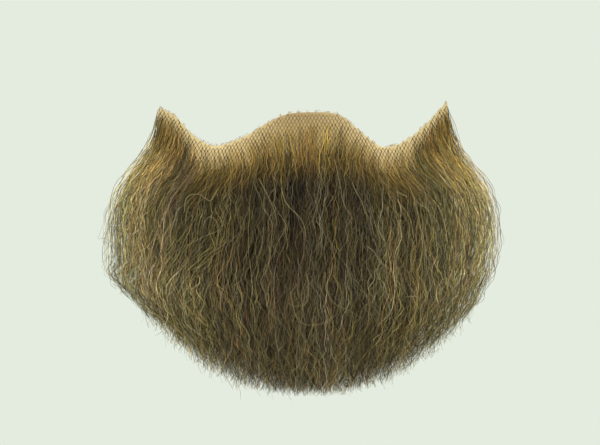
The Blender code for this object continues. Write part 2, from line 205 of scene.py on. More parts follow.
# Where on the net the hair is knotted, and how thick.
BARE_EDGE = 0.0013
BARE_MIDDLE = 1.25
HUMP_BARE = 0.0016
HUMP_WIDTH = 0.30
EDGE_SHARE = 0.26
PEAK_SHARE = 1.8
PEAK_START = 0.72
PEAK_WIDTH = 0.16
HAIRLINE_GAIN = 2.2
HAIRLINE_FALL = 0.07
EDGE_THINNING = 0.10
THINNING_START = 0.7
THINNING_FALL = 0.1

# How hairs run. Layers go from the lace, 0, to the outer face of the solids, 1.
OUTLINE_SHARE = 0.35
OUTER_LAYERS = (0.97, 1.12)
USUAL_LAYER = (0.84, 0.16)
LAYER_LIMITS = (0.25, 1.02)
SIDE_LAYERS = (0.12, 0.92)
OUTLINE_LAYERS = (0.955, 1.0)
SIDE_START = 0.7
SMOOTHINGS = 4
CLUMP_SIZE = 30
FEWEST_CLUMPS = 8
CLUMP_NARROWING = 3
CLUMP_MIXING = 0.01
GATHER = 0.32
GATHER_POWER = 1.4
CLUMP_SPREAD = 0.035
CLUMP_SPREAD_POWER = 1.3
HAIR_SPREAD = 0.065
HAIR_SPREAD_POWER = 1.2
SIDE_LIMIT = 1.02
LOWEST_SPREAD = 0.09
RISE_FALL = 0.18
SIDE_SWELL = 0.16
FAN = -0.17
DEEPEST_SHADE = 0.42
SWIRL_ACROSS = -0.50
SWIRL_WIDTH = 0.20
SWIRL_START = 0.36
SWIRL_LENGTH = 0.20
SWIRL_REACH = 0.24
SWIRL_SHARE = 0.4
SWIRL_FOLLOWING = (0.6, 1.0)
SWIRL_REST = 0.12
CURL_POWER = 6
CURL_SIDEWAYS = 0.0018
CURL_OUTWARDS = 0.0009
CURL_UPWARDS = (-0.0005, 0.0018)
GROW_LENGTH = 0.010
LOOSEN_LENGTH = 0.030
CALM_SIDES = 0.35
ROOT_CRIMP = 0.8
OUTWARD_CLUMP = 0.5
OUTWARD_CRIMP = 0.8
FRIZZ_GAIN = 1.0
SIDE_CRIMP = 0.55
SLANT = 0.24
SLANT_SHARE = 0.40
SLANT_LOW = 0.3
SLANT_STEEPNESS = 3
SLANT_LEAST = 0.3
TANGLE = 0.15
TANGLE_SHARE = 0.22
UNDER_LEAST = 0.004
UNDER_TURN = 0.35
TAPER_SHARES = (0, 0.1, 0.6, 1)
TAPER_WIDTHS = (0.7, 1.0, 0.95, 0.55)
HAIR_WIDTHS = (0.75, 1.25)

# Waves of a hair: the shortest and longest period, in metres, and the least and greatest height,
# in metres too or, for the painted shine, as a share of the hair's tone. The painted shine is
# painted highlight and shade in stretches along each hair.
Wave = namedtuple("Wave", "shortest longest least greatest")
CRIMP = Wave(0.0050, 0.0095, 0.00015, 0.00062)
SWAY = Wave(0.0170, 0.0380, 0.0005, 0.0024)
CLUMP_WAVE = Wave(0.0140, 0.0210, 0.0001, 0.0006)
PAINTED_SHINE = Wave(0.0040, 0.0090, 0.10, 0.45)
WAVE_SHARES = (0.65, 0.35)

# How far down the longest hairs end: 1 is the lower edge of the solids.
LongReach = namedtuple("LongReach", "across fall")
LONG_REACHES = (
    LongReach(-1.00, 1.16),
    LongReach(-0.82, 1.10),
    LongReach(-0.65, 1.09),
    LongReach(-0.40, 1.05),
    LongReach(0.00, 1.03),
    LongReach(0.70, 1.03),
    LongReach(1.00, 1.08),
)

# Patches of painted light and shade on the hair: where, how wide, how much.
LightPatch = namedtuple("LightPatch", "across fall wide tall amount")
PAINTED_LIGHT_PATCHES = (
    LightPatch(-0.76, 0.72, 0.22, 0.32, 0.38),
    LightPatch(-0.97, 0.20, 0.14, 0.16, 0.75),
    LightPatch(0.97, 0.20, 0.15, 0.16, 0.55),
    LightPatch(-0.67, 0.22, 0.09, 0.13, -0.42),
    LightPatch(0.66, 0.22, 0.12, 0.13, -0.20),
    LightPatch(0.92, 0.55, 0.24, 0.40, 0.45),
    LightPatch(0.45, 0.42, 0.25, 0.20, 0.18),
)

# Places where the hair swells out, or in, beyond the even shape: where, how wide, how much.
Swell = namedtuple("Swell", "across fall wide tall amount")
SWELLS = (
    Swell(-1.0, 1.02, 0.34, 0.24, 0.0042),
    Swell(1.0, 0.70, 0.26, 0.15, -0.0030),
)

# Kinds of hair: linear colour, and how common each is in the middle, at the sides and at the lace.
Kind = namedtuple("Kind", "name red green blue middle side edge")
KINDS = (
    Kind("black brown", 0.014, 0.013, 0.012, 0.30, 0.08, 0.01),
    Kind("dark brown", 0.040, 0.031, 0.018, 0.24, 0.20, 0.07),
    Kind("brown", 0.090, 0.066, 0.029, 0.16, 0.24, 0.18),
    Kind("ash brown", 0.145, 0.122, 0.080, 0.15, 0.06, 0.00),
    Kind("olive brown", 0.150, 0.126, 0.046, 0.06, 0.30, 0.12),
    Kind("golden brown", 0.200, 0.138, 0.050, 0.05, 0.10, 0.05),
    Kind("gold at the net", 0.360, 0.225, 0.055, 0.00, 0.00, 0.50),
    Kind("red brown", 0.130, 0.060, 0.026, 0.03, 0.02, 0.08),
    Kind("tan", 0.300, 0.235, 0.130, 0.02, 0.02, 0.00),
)

# Tones of the hair: how far it is golden, painted light and shade by place, painted shine along the hairs
# and painted glints, and how much it varies.
GOLD_FALL = 0.19
GOLD_ASIDE = 0.22
GOLD_WIDEST = 0.6
MIDDLE_LIGHT = 1.06
SIDE_LIGHT = 3.8
LIGHT_WIDTH = 0.95
SIDE_POWER = 2.2
SIDE_FADE = 0.35
OUTLINE_SHADE = 0.56
LOW_LIGHT = 2.5
CLUMP_TONE = 0.15
CLUMP_TONE_LIMITS = (0.65, 1.4)
CLUMP_TINT = 0.06
SIDE_PAINTED_SHINE = 1.5
PAINTED_SHINE_LIMITS = (0.35, 2.4)
GLINT_FROM = 0.62
GLINT_SHARE = 0.20
GLINT_MIX = 0.75
GLINT_COLOUR = (0.62, 0.56, 0.36)
GLINT_FALL = 0.1
LOW_START = 0.50
SIDE_KIND_GAIN = 1.5
SIDE_KIND_START = 0.45
HAIR_TONES = (0.75, 1.30)
HAIR_TINTS = (0.93, 1.07)
OUTER_PAINTED_LIGHT = 1.15

# Single hairs that stand out.
STRAY_DEPTH = 0.010
STRAY_LIFT = 0.0004
STRAY_SINK = 0.0025
STRAY_POINTS = 30
STRAY_RADIUS = 0.000066
STRAY_COLOUR = (0.30, 0.23, 0.13)
STRAY_SIDES = 4
STRAY_TIP = 0.6
STRAY_TONES = (0.75, 1.15)
STRAY_STEPS = 161
STRAY_LOWEST = 1.05
STRAY_LAYER = 1.04

# Where each runs, as pixels across and down the picture.
Stray = namedtuple("Stray", "across_px down_px")
STRAYS = (
    Stray((290, 292, 295, 299, 304, 312, 320, 327, 334), (288, 301, 313, 320, 324, 325, 324, 321, 315)),
    Stray((304, 308, 308, 303, 295, 288), (268, 282, 297, 305, 306, 303)),
    Stray((333, 331, 327, 328, 331, 338, 346, 352, 362), (262, 273, 284, 293, 300, 306, 309, 312, 319)),
    Stray((183, 184, 189, 197, 204, 209, 213, 216), (212, 200, 195, 194, 198, 201, 197, 190)),
    Stray((258, 264, 270, 275, 277), (178, 189, 201, 213, 226)),
    Stray((281, 285, 292, 299, 304, 306), (188, 201, 210, 217, 226, 238)),
    Stray((202, 203, 206, 210, 216, 218, 217, 214), (232, 225, 219, 217, 222, 233, 243, 252)),
    Stray((218, 211, 203, 191, 181, 174), (231, 234, 237, 243, 248, 252)),
    Stray((222, 213, 207, 199, 191, 186), (250, 256, 262, 267, 270, 275)),
    Stray((229, 221, 212, 204, 196), (240, 247, 252, 256, 262)),
    Stray((335, 337, 339, 341, 342, 346), (158, 168, 179, 189, 198, 208)),
    Stray((352, 356, 362, 365, 371, 374), (180, 191, 202, 212, 222, 236)),
    Stray((404, 411, 416, 420, 421), (298, 297, 297, 299, 303)),
    Stray((366, 374, 380, 390, 398, 402), (246, 252, 262, 270, 282, 295)),
    Stray((110, 105, 99, 94, 91), (247, 243, 240, 239, 240)),
    Stray((112, 108, 101, 95), (256, 258, 259, 264)),
    Stray((489, 494, 498, 503), (212, 207, 205, 205)),
    Stray((480, 484, 485, 486, 486), (276, 281, 286, 291, 297)),
    Stray((477, 480, 481, 480), (284, 289, 294, 299)),
    Stray((425, 431, 438, 444), (353, 356, 356, 352)),
)

# The materials: tones as places on a ramp with linear colours, scales of noise, and depths in metres.
STREAK_SCALE = 700.0
STREAK_DETAIL = 3.0
HAIR_ROUGHNESS = (0.38, 0.62)
HAIR_SHINE = 0.16
HAIR_SHINE_COLOUR = (1.0, 0.86, 0.62, 1)
THREAD_SCALE = 260.0
THREAD_ROUGHNESS = 0.75
THREAD_SHEEN = 0.15
FIBRE_SCALE = 9000.0
FIBRE_BUMP = 0.4
FIBRE_DEPTH = 0.00003
FILM_SCALE = 1900.0
FILM_BUMP = 0.5
FILM_DEPTH = 0.0001
FILM_ROUGHNESS = 0.85
HAIR_STREAKS = (
    (0.36, (0.58, 0.58, 0.59)),
    (0.64, (1.38, 1.34, 1.25)),
)
THREAD_TONES = (
    (0.30, (0.150, 0.090, 0.048)),
    (0.70, (0.215, 0.135, 0.072)),
)
LOOP_TONES = (
    (0.30, (0.44, 0.29, 0.170)),
    (0.70, (0.58, 0.40, 0.240)),
)
FILM_TONES = (
    (0.00, (0.72, 0.66, 0.58)),
    (0.30, (1.00, 1.00, 1.00)),
)
FILM_ALPHA = 0.95
# The veil: pale at the sides of the cut edge, in painted shadow of the lower lip at the hump, golden at the
# roots, and dark under the hair, partly the hair seen through and partly painted shade.
FILM_SIDE = (0.74, 0.58, 0.290)
FILM_LIP_SHADOW = (0.42, 0.285, 0.115)
FILM_ROOT = (0.47, 0.325, 0.085)
FILM_ROOT_DEPTH = 0.0065
FILM_DEEP = (0.075, 0.052, 0.024)
DEEP_FALLS = (0.04, 0.16)

# The picture, its camera, floor and lamps.
PICTURE_WIDTH_PX = 600
METRES_PER_PIXEL = 0.00026
ORIGIN_PX = (303, 205)
CENTRE_PX = (300, 222.5)
CAMERA_DISTANCE = 0.70
SENSOR_WIDTH = 36.0
NEAREST = 0.01
FLOOR_HEIGHT = -0.12
FLOOR_REACH = 0.66
FLOOR_COLOUR = (0.50, 0.54, 0.48, 1)
FLOOR_ROUGHNESS = 0.9
FLOOR_SHINE = 0.1
WORLD_COLOUR = (0.776, 0.838, 0.738, 1)
LIT_PLACE = (0, 0, -0.01)
Lamp = namedtuple("Lamp", "name place power size")
LAMPS = (
    Lamp("key", (-0.9, -2.2, 1.9), 62.0, 1.6),
    Lamp("fill", (1.6, -2.2, 0.5), 22.0, 1.8),
)
FLOOR_FADE = (
    (0.05, (0, 0, 0)),
    (0.60, (1, 1, 1)),
)


def smooth(at, places, values):
    """Cubic curve through the values, with no overshoot past level stretches."""
    places = np.asarray(places, float)
    values = np.asarray(values, float)
    steps = np.diff(places)
    slopes = np.diff(values) / steps
    inner = np.where(slopes[1:] * slopes[:-1] > 0, (slopes[1:] + slopes[:-1]) / 2, 0.0)
    limit = 3 * np.minimum(abs(slopes[1:]), abs(slopes[:-1]))
    inner = np.clip(inner, -limit, limit)
    tangents = np.concatenate([slopes[:1], inner, slopes[-1:]])
    at = np.clip(np.asarray(at, float), places[0], places[-1])
    k = np.clip(np.searchsorted(places, at, side="right") - 1, 0, len(steps) - 1)
    width = steps[k]
    t = (at - places[k]) / width
    rise = values[k + 1] - values[k]
    leaving = tangents[k] * width
    arriving = tangents[k + 1] * width
    square = 3 * rise - 2 * leaving - arriving
    cube = leaving + arriving - 2 * rise
    return values[k] + leaving * t + square * t**2 + cube * t**3


def column(rows, name):
    return [getattr(row, name) for row in rows]


def unit(vectors):
    return vectors / np.maximum(np.linalg.norm(vectors, axis=-1, keepdims=True), 1e-12)


def top_height(across):
    shares = smooth(across, column(TOP_EDGE, "across"), column(TOP_EDGE, "height"))
    return LACE_POINT_HEIGHT * shares


def lace_point(across, level):
    """Points of the lace's inner face. Across runs from -1 to 1, level from the hem to the top."""
    across, level = np.broadcast_arrays(across, level)
    levels = column(LACE_ROWS, "level")
    above = np.maximum(level, 0) * top_height(across)
    below = LACE_HEM_DROP * smooth(level, levels, column(LACE_ROWS, "drop"))
    hollow_share = np.clip(above / LIP_HOLLOW_HEIGHT, 0, 1)
    hollow = LIP_HOLLOW_DEPTH * hollow_share**2 * (3 - 2 * hollow_share)
    setback = hollow + LACE_HEM_REACH * smooth(level, levels, column(LACE_ROWS, "setback"))
    wrap = CHIN_WRAP_DEPTH * smooth(level, levels, column(LACE_ROWS, "wrap"))
    x = across * LACE_HALF_WIDTH * smooth(level, levels, column(LACE_ROWS, "half_width"))
    y = setback + wrap * (1 - np.sqrt(1 - (x / CHIN_HALF_WIDTH) ** 2))
    return np.stack([x, y, above - below], axis=-1)


def lace_normal(across, level):
    along = lace_point(across + SMALL_STEP, level) - lace_point(across - SMALL_STEP, level)
    up_to = np.minimum(level + SMALL_STEP, 1)
    down_to = np.maximum(level - SMALL_STEP, -1)
    up = lace_point(across, up_to) - lace_point(across, down_to)
    return unit(np.cross(along, up))


def off_lace(across, level, distance):
    across, level = np.broadcast_arrays(across, level)
    return lace_point(across, level) + np.asarray(distance)[..., None] * lace_normal(across, level)


def hairline_level(across):
    margin = HAIR_MARGIN * smooth(across, column(HAIRLINE, "across"), column(HAIRLINE, "margin"))
    return 1 - margin / top_height(across)


def bottom_point(across):
    """The line of the front hair's lowest tips."""
    x = HAIR_BOTTOM_HALF_WIDTH * across
    y = TIP_SETBACK + TIP_WRAP * across**2
    z = HAIR_BOTTOM_RISE * abs(across - LOWEST_ACROSS) ** BOTTOM_ROUNDNESS - HAIR_DROP
    return np.stack([x, y, z], axis=-1)


def fall_of(across, level):
    """How far down the front hair a place on the lace lies: 0 at the hairline, 0.5 at the jaw."""
    top = hairline_level(across)
    return JAW_FALL * (top - level) / (top - JAW_LEVEL)


def outward(across):
    """Level direction away from the chin."""
    slope = lace_normal(across, np.zeros_like(across))
    slope[..., 2] = 0
    return unit(slope)


def front_hair_point(across, fall, depth):
    """A place in the front hair, from the lace, at depth 0, to its outer face, at 1."""
    across, fall, depth = np.broadcast_arrays(across, fall, depth)
    share = np.minimum(fall / JAW_FALL, 1)
    top = hairline_level(across)
    level = np.clip(top + share * (JAW_LEVEL - top), -1, 1)
    on_lace = off_lace(across, level, LACE_WALL)
    hanging = np.maximum(fall - JAW_FALL, 0) / (1 - JAW_FALL)
    back = on_lace + hanging[..., None] * (bottom_point(across) - on_lace)
    body = HAIR_DEPTH * smooth(fall, column(FRONT_BODY, "fall"), column(FRONT_BODY, "depth"))
    thickness = body * (1 - SIDE_THINNING * across**2) * depth
    for swell in SWELLS:
        apart = ((across - swell.across) / swell.wide) ** 2 + ((fall - swell.fall) / swell.tall) ** 2
        thickness = thickness + swell.amount * np.exp(-apart) * np.clip(depth, 0, 1)
    return back + thickness[..., None] * outward(across)


def add_mesh(name, points, quads, triangles, material, uv=None, colours=None):
    """A piece from arrays: its points, its faces of four and three corners, and their colours."""
    mesh = bpy.data.meshes.new(name)
    corners = np.concatenate([quads.reshape(-1), triangles.reshape(-1)]).astype(np.int32)
    sizes = np.concatenate([np.full(len(quads), 4), np.full(len(triangles), 3)]).astype(np.int32)
    starts = np.concatenate([[0], np.cumsum(sizes)[:-1]]).astype(np.int32)
    mesh.vertices.add(len(points))
    mesh.vertices.foreach_set("co", points.astype(np.float32).reshape(-1))
    mesh.loops.add(len(corners))
    mesh.loops.foreach_set("vertex_index", corners)
    mesh.polygons.add(len(sizes))
    mesh.polygons.foreach_set("loop_start", starts)
    mesh.polygons.foreach_set("loop_total", sizes)
    mesh.polygons.foreach_set("use_smooth", np.ones(len(sizes), bool))
    if uv is not None:
        layer = mesh.uv_layers.new(name="OFBake")
        layer.uv.foreach_set("vector", uv.astype(np.float32).reshape(-1))
    if colours is not None:
        made = mesh.attributes.new("shade", "FLOAT_COLOR", "POINT")
        opaque = np.concatenate([colours, np.ones((len(colours), 1))], axis=1)
        made.data.foreach_set("color", opaque.astype(np.float32).reshape(-1))
    mesh.update(calc_edges=True)
    mesh.validate()
    mesh.materials.append(material)
    piece = bpy.data.objects.new(name, mesh)
    bpy.context.scene.collection.objects.link(piece)
    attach(piece, BODY)
    return piece


def tubes(name, paths, radii, sides, chance, material, colours=None):
    """Thin tubes along many paths of the same number of points, as one piece. Two sides: bands."""
    count, points = paths.shape[:2]
    tangents = unit(np.gradient(paths, axis=1))
    turn = chance.uniform(0, 2 * math.pi, count)
    level_way = np.stack([np.cos(turn), np.sin(turn), 0 * turn], axis=-1)[:, None]
    first = unit(np.cross(tangents, level_way))
    second = np.cross(tangents, first)
    angle = 2 * math.pi * np.arange(sides) / sides
    ring = first[:, :, None] * np.cos(angle)[:, None] + second[:, :, None] * np.sin(angle)[:, None]
    corners = paths[:, :, None] + radii[:, :, None, None] * ring
    walls = sides if sides > 2 else 1
    start = (np.arange(count) * points * sides)[:, None, None]
    i = np.arange(points - 1)[None, :, None] * sides
    k = np.arange(walls)[None, None, :]
    after = (k + 1) % sides
    low = start + i
    high = start + i + sides
    quads = np.stack([low + k, low + after, high + after, high + k], axis=-1)
    no_faces = np.zeros((0, 3), int)
    if colours is not None:
        colours = np.repeat(colours[:, :, None], sides, axis=2).reshape(-1, 3)
    uv = strand_uv(count, points, walls)
    return add_mesh(name, corners.reshape(-1, 3), quads.reshape(-1, 4), no_faces, material, uv, colours)


def strand_uv(count, points, walls):
    """A cell of the map for each tube, with its walls next to each other."""
    across = max(1, int(math.sqrt(count * (CELL_TALLNESS if points > 2 else 1))))
    down = math.ceil(count / across)
    cell = np.arange(count)
    low = np.stack([(cell % across) / across, (cell // across) / down], axis=-1)[:, None]
    size = np.array([CELL_FILL / across, CELL_FILL / down])
    i = np.arange(points - 1)[:, None]
    k = np.arange(walls)[None, :]
    u = np.stack([k + 0 * i, k + 1 + 0 * i, k + 1 + 0 * i, k + 0 * i], axis=-1) / walls
    v = np.stack([i + 0 * k, i + 0 * k, i + 1 + 0 * k, i + 1 + 0 * k], axis=-1) / (points - 1)
    inside = np.stack([u, v], axis=-1).reshape(1, -1, 2)
    return (low + size * inside).reshape(-1, 2)


def net_place(u, v):
    """(across, level) of a place on the net, u metres across and v metres up from the chin."""
    across = u / NET_HALF_ARC
    above = v / top_height(np.clip(across, -1, 1))
    below = np.interp(-v, column(HEM_ARC, "arc"), column(HEM_ARC, "level"))
    below = np.where(-v > HEM_ARC[-1].arc, OFF_NET, below)
    return across, np.where(v >= 0, above, below)


def net_nodes(chance):
    """The net's crossings: across and level, whether each is on the lace, and its row."""
    columns = int(2 * NET_HALF_ARC / NET_PITCH) + 2
    low = -int(HEM_ARC[-1].arc / NET_ROW) - 1
    high = int(LACE_POINT_HEIGHT / NET_ROW) + 2
    column_number, row = np.meshgrid(np.arange(columns), np.arange(low, high))
    u = (column_number + 0.5 * (row % 2)) * NET_PITCH - NET_HALF_ARC - NET_PITCH / 4
    v = row * NET_ROW
    u = u + NET_JITTER * chance.normal(size=u.shape)
    v = v + NET_JITTER * chance.normal(size=v.shape)
    across, level = net_place(u, v)
    inside = (abs(across) <= 1) & (abs(level) <= 1)
    return np.clip(across, -1, 1), np.clip(level, -1, 1), inside, row


def node_tree(name):
    material = bpy.data.materials.new(name)
    material.use_nodes = True
    tree = material.node_tree
    return material, tree, tree.nodes["Principled BSDF"]


def ramp(tree, stops):
    made = tree.nodes.new("ShaderNodeValToRGB")
    elements = made.color_ramp.elements
    while len(elements) < len(stops):
        elements.new(0.5)
    for element, (at, colour) in zip(elements, stops):
        element.position = at
        element.color = (*colour, 1)
    return made


def hair_material():
    """Hair: the colour that each hair carries, with a soft sheen that varies along it."""
    material, tree, shader = node_tree("hair")
    streak = tree.nodes.new("ShaderNodeTexNoise")
    streak.inputs["Scale"].default_value = STREAK_SCALE
    streak.inputs["Detail"].default_value = STREAK_DETAIL
    tint = ramp(tree, HAIR_STREAKS)
    tree.links.new(streak.outputs["Fac"], tint.inputs["Fac"])
    rough = tree.nodes.new("ShaderNodeMapRange")
    rough.inputs["To Min"].default_value = HAIR_ROUGHNESS[0]
    rough.inputs["To Max"].default_value = HAIR_ROUGHNESS[1]
    tree.links.new(streak.outputs["Fac"], rough.inputs["Value"])
    tree.links.new(rough.outputs["Result"], shader.inputs["Roughness"])
    tree.links.new(shade_times(tree, tint.outputs["Color"]), shader.inputs["Base Color"])
    shader.inputs["Specular IOR Level"].default_value = HAIR_SHINE
    shader.inputs["Specular Tint"].default_value = HAIR_SHINE_COLOUR
    return material


def shade_times(tree, other):
    """The colour that each point of the piece carries, times another colour."""
    shade = tree.nodes.new("ShaderNodeAttribute")
    shade.attribute_name = "shade"
    blend = tree.nodes.new("ShaderNodeMix")
    blend.data_type = "RGBA"
    blend.blend_type = "MULTIPLY"
    blend.inputs["Factor"].default_value = 1.0
    tree.links.new(shade.outputs["Color"], blend.inputs["A"])
    tree.links.new(other, blend.inputs["B"])
    return blend.outputs["Result"]


def fine_bump(tree, shader, source, strength, distance):
    bump = tree.nodes.new("ShaderNodeBump")
    bump.inputs["Strength"].default_value = strength
    bump.inputs["Distance"].default_value = distance
    tree.links.new(source, bump.inputs["Height"])
    tree.links.new(bump.outputs["Normal"], shader.inputs["Normal"])


def thread_material(name, tones):
    """Thin thread of uneven brown, a little fuzzy."""
    material, tree, shader = node_tree(name)
    noise = tree.nodes.new("ShaderNodeTexNoise")
    noise.inputs["Scale"].default_value = THREAD_SCALE
    colours = ramp(tree, tones)
    tree.links.new(noise.outputs["Fac"], colours.inputs["Fac"])
    tree.links.new(colours.outputs["Color"], shader.inputs["Base Color"])
    fibre = tree.nodes.new("ShaderNodeTexNoise")
    fibre.inputs["Scale"].default_value = FIBRE_SCALE
    fine_bump(tree, shader, fibre.outputs["Fac"], FIBRE_BUMP, FIBRE_DEPTH)
    shader.inputs["Roughness"].default_value = THREAD_ROUGHNESS
    shader.inputs["Sheen Weight"].default_value = THREAD_SHEEN
    return material


def film_material():
    """The finest threads of the net, too thin to model, as a warm veil between the others."""
    material, tree, shader = node_tree("net_veil")
    cells = tree.nodes.new("ShaderNodeTexVoronoi")
    cells.feature = "DISTANCE_TO_EDGE"
    cells.inputs["Scale"].default_value = FILM_SCALE
    colours = ramp(tree, FILM_TONES)
    tree.links.new(cells.outputs["Distance"], colours.inputs["Fac"])
    tree.links.new(shade_times(tree, colours.outputs["Color"]), shader.inputs["Base Color"])
    fine_bump(tree, shader, cells.outputs["Distance"], FILM_BUMP, FILM_DEPTH)
    shader.inputs["Roughness"].default_value = FILM_ROUGHNESS
    shader.inputs["Alpha"].default_value = FILM_ALPHA
    return material


def film_colours(across, level):
    """The veil's colour: pale at the cut edge, darker at the hump with painted shadow of the lower lip,
    golden at the hairline, and dark behind the hair, partly the hair seen through the net and partly painted
    shade.
    """
    # Painted shadow of the lower lip: the veil is darker at the hump.
    lip_shadow = np.exp(-((across / HUMP_WIDTH) ** 2))[..., None]
    edge = np.array(FILM_SIDE) * (1 - lip_shadow) + np.array(FILM_LIP_SHADOW) * lip_shadow
    depth = np.clip((1 - level) * top_height(across) / FILM_ROOT_DEPTH, 0, 1)[..., None]
    bare = edge * (1 - depth) + np.array(FILM_ROOT) * depth
    # Dark under the hair: partly the hair seen through the net, partly painted shade.
    covered = (fall_of(across, level) - DEEP_FALLS[0]) / (DEEP_FALLS[1] - DEEP_FALLS[0])
    covered = np.clip(covered, 0, 1)[..., None]
    return bare * (1 - covered) + np.array(FILM_DEEP) * covered


def make_lace(chance):
    """The veil and its threads, the veil's area, and the crossings of the net where hair may be knotted."""
    columns = np.linspace(-1, 1, FILM_COLUMNS + 1)
    across, level = np.meshgrid(columns, np.linspace(-1, 1, FILM_ROWS + 1))
    points = off_lace(across, level, 0.5 * LACE_WALL).reshape(-1, 3)
    index = np.arange(across.size).reshape(across.shape)
    quads = np.stack([index[:-1, :-1], index[:-1, 1:], index[1:, 1:], index[1:, :-1]], axis=-1)
    quads = quads.reshape(-1, 4)
    empty = np.zeros((0, 3), int)
    uv_points = np.stack([(across + 1) / 2, (level + 1) / 2], axis=-1)
    uv = uv_points.reshape(-1, 2)[quads.reshape(-1)]
    colours = film_colours(across, level).reshape(-1, 3)
    film = add_mesh("lace_veil", points, quads, empty, film_material(), uv, colours)
    surface = sum(polygon.area for polygon in film.data.polygons)
    across, level, inside, rows = net_nodes(chance)
    places = off_lace(across, level, 0.5 * LACE_WALL)
    near = slice(0, -1)
    far = slice(1, None)
    pairs = []
    for row in range(len(rows) - 1):
        slanting = (near, far) if rows[row, 0] % 2 else (far, near)
        for here, below in ((near, near), slanting):
            both = inside[row, here] & inside[row + 1, below]
            pairs.append(np.stack([places[row, here], places[row + 1, below]], axis=1)[both])
    edges = np.concatenate(pairs)
    radii = np.full(edges.shape[:2], THREAD_RADIUS)
    net = tubes("lace_net", edges, radii, THREAD_SIDES, chance, thread_material("net_thread", THREAD_TONES))
    return film, net, surface, across[inside], level[inside]


def knots(across, level, chance, material):
    """Small dark knots, one at each crossing that carries hair."""
    centre = off_lace(across, level, KNOT_DEPTH * LACE_WALL)
    corners = np.array(KNOT_CORNERS, float)
    faces = np.array(KNOT_FACES)
    size = np.array(KNOT_SIZE) * chance.uniform(*KNOT_SIZES, (len(centre), 1, 1))
    points = centre[:, None] + corners * size
    triangles = (np.arange(len(centre))[:, None, None] * len(corners) + faces).reshape(-1, 3)
    colours = np.array(KNOT_COLOUR) * chance.uniform(*KNOT_TONES, (len(centre), 1))
    empty = np.zeros((0, 4), int)
    cells = math.ceil(math.sqrt(len(centre)))
    number = np.arange(len(centre))
    low = np.stack([number % cells, number // cells], axis=-1)[:, None, None]
    uv = ((low + np.array(KNOT_MAP) + np.zeros((1, len(faces), 1, 1))) / cells).reshape(-1, 2)
    shades = np.repeat(colours, len(corners), axis=0)
    return add_mesh("hair_knots", points.reshape(-1, 3), empty, triangles, material, uv, shades)


def wave(length, kind, chance, count):
    """A random wave along each hair, from two sine curves."""
    total = 0
    for weight in WAVE_SHARES:
        period = chance.uniform(kind.shortest, kind.longest, count)[:, None]
        phase = chance.uniform(0, 2 * math.pi, count)[:, None]
        total = total + weight * np.sin(phase + 2 * math.pi * length / period)
    return chance.uniform(kind.least, kind.greatest, count)[:, None] * total


def root_weight(group, across, level):
    """How much hair each crossing of the net carries in this group."""
    if group.node == "under_chin_hair":
        return np.where(level < JAW_LEVEL, 1.0, 0.0)
    fall = fall_of(across, level)
    below_edge = (1 - level) * top_height(across)
    peak = np.clip((abs(across) - PEAK_START) / PEAK_WIDTH, 0, 1)
    weight = np.where(fall < 0, EDGE_SHARE + (PEAK_SHARE - EDGE_SHARE) * peak, 1.0)
    bare = BARE_EDGE * (BARE_MIDDLE - abs(across)) + HUMP_BARE * np.exp(-((across / HUMP_WIDTH) ** 2))
    weight = np.where(below_edge < bare, 0.0, weight)
    outer = abs(across) * LACE_HALF_WIDTH >= SIDE_HAIR_START
    if group.node == "chin_hair":
        place = ~outer
    elif group.node == "side_hair_left":
        place = outer & (across > 0)
    else:
        place = outer & (across < 0)
    if group.slot == "golden_hair":
        weight = weight * (1 + HAIRLINE_GAIN * np.exp(-np.maximum(fall, 0) / HAIRLINE_FALL))
        aside = np.clip((abs(across) - THINNING_START) / (1 - THINNING_START), 0, 1)
        weight = weight * (1 - EDGE_THINNING * aside * (fall > THINNING_FALL))
    inside = place & (fall >= group.low) & (fall < group.high) & (level >= JAW_LEVEL)
    return np.where(inside, weight, 0.0)


def is_outer(group):
    """Whether these are the loose hairs on the very outside."""
    return group.name.endswith("outer")


def hair_length(base):
    """How long each hair is up to each of its points."""
    steps = np.linalg.norm(np.diff(base, axis=1), axis=2)
    return np.concatenate([np.zeros((len(base), 1)), np.cumsum(steps, axis=1)], axis=1)


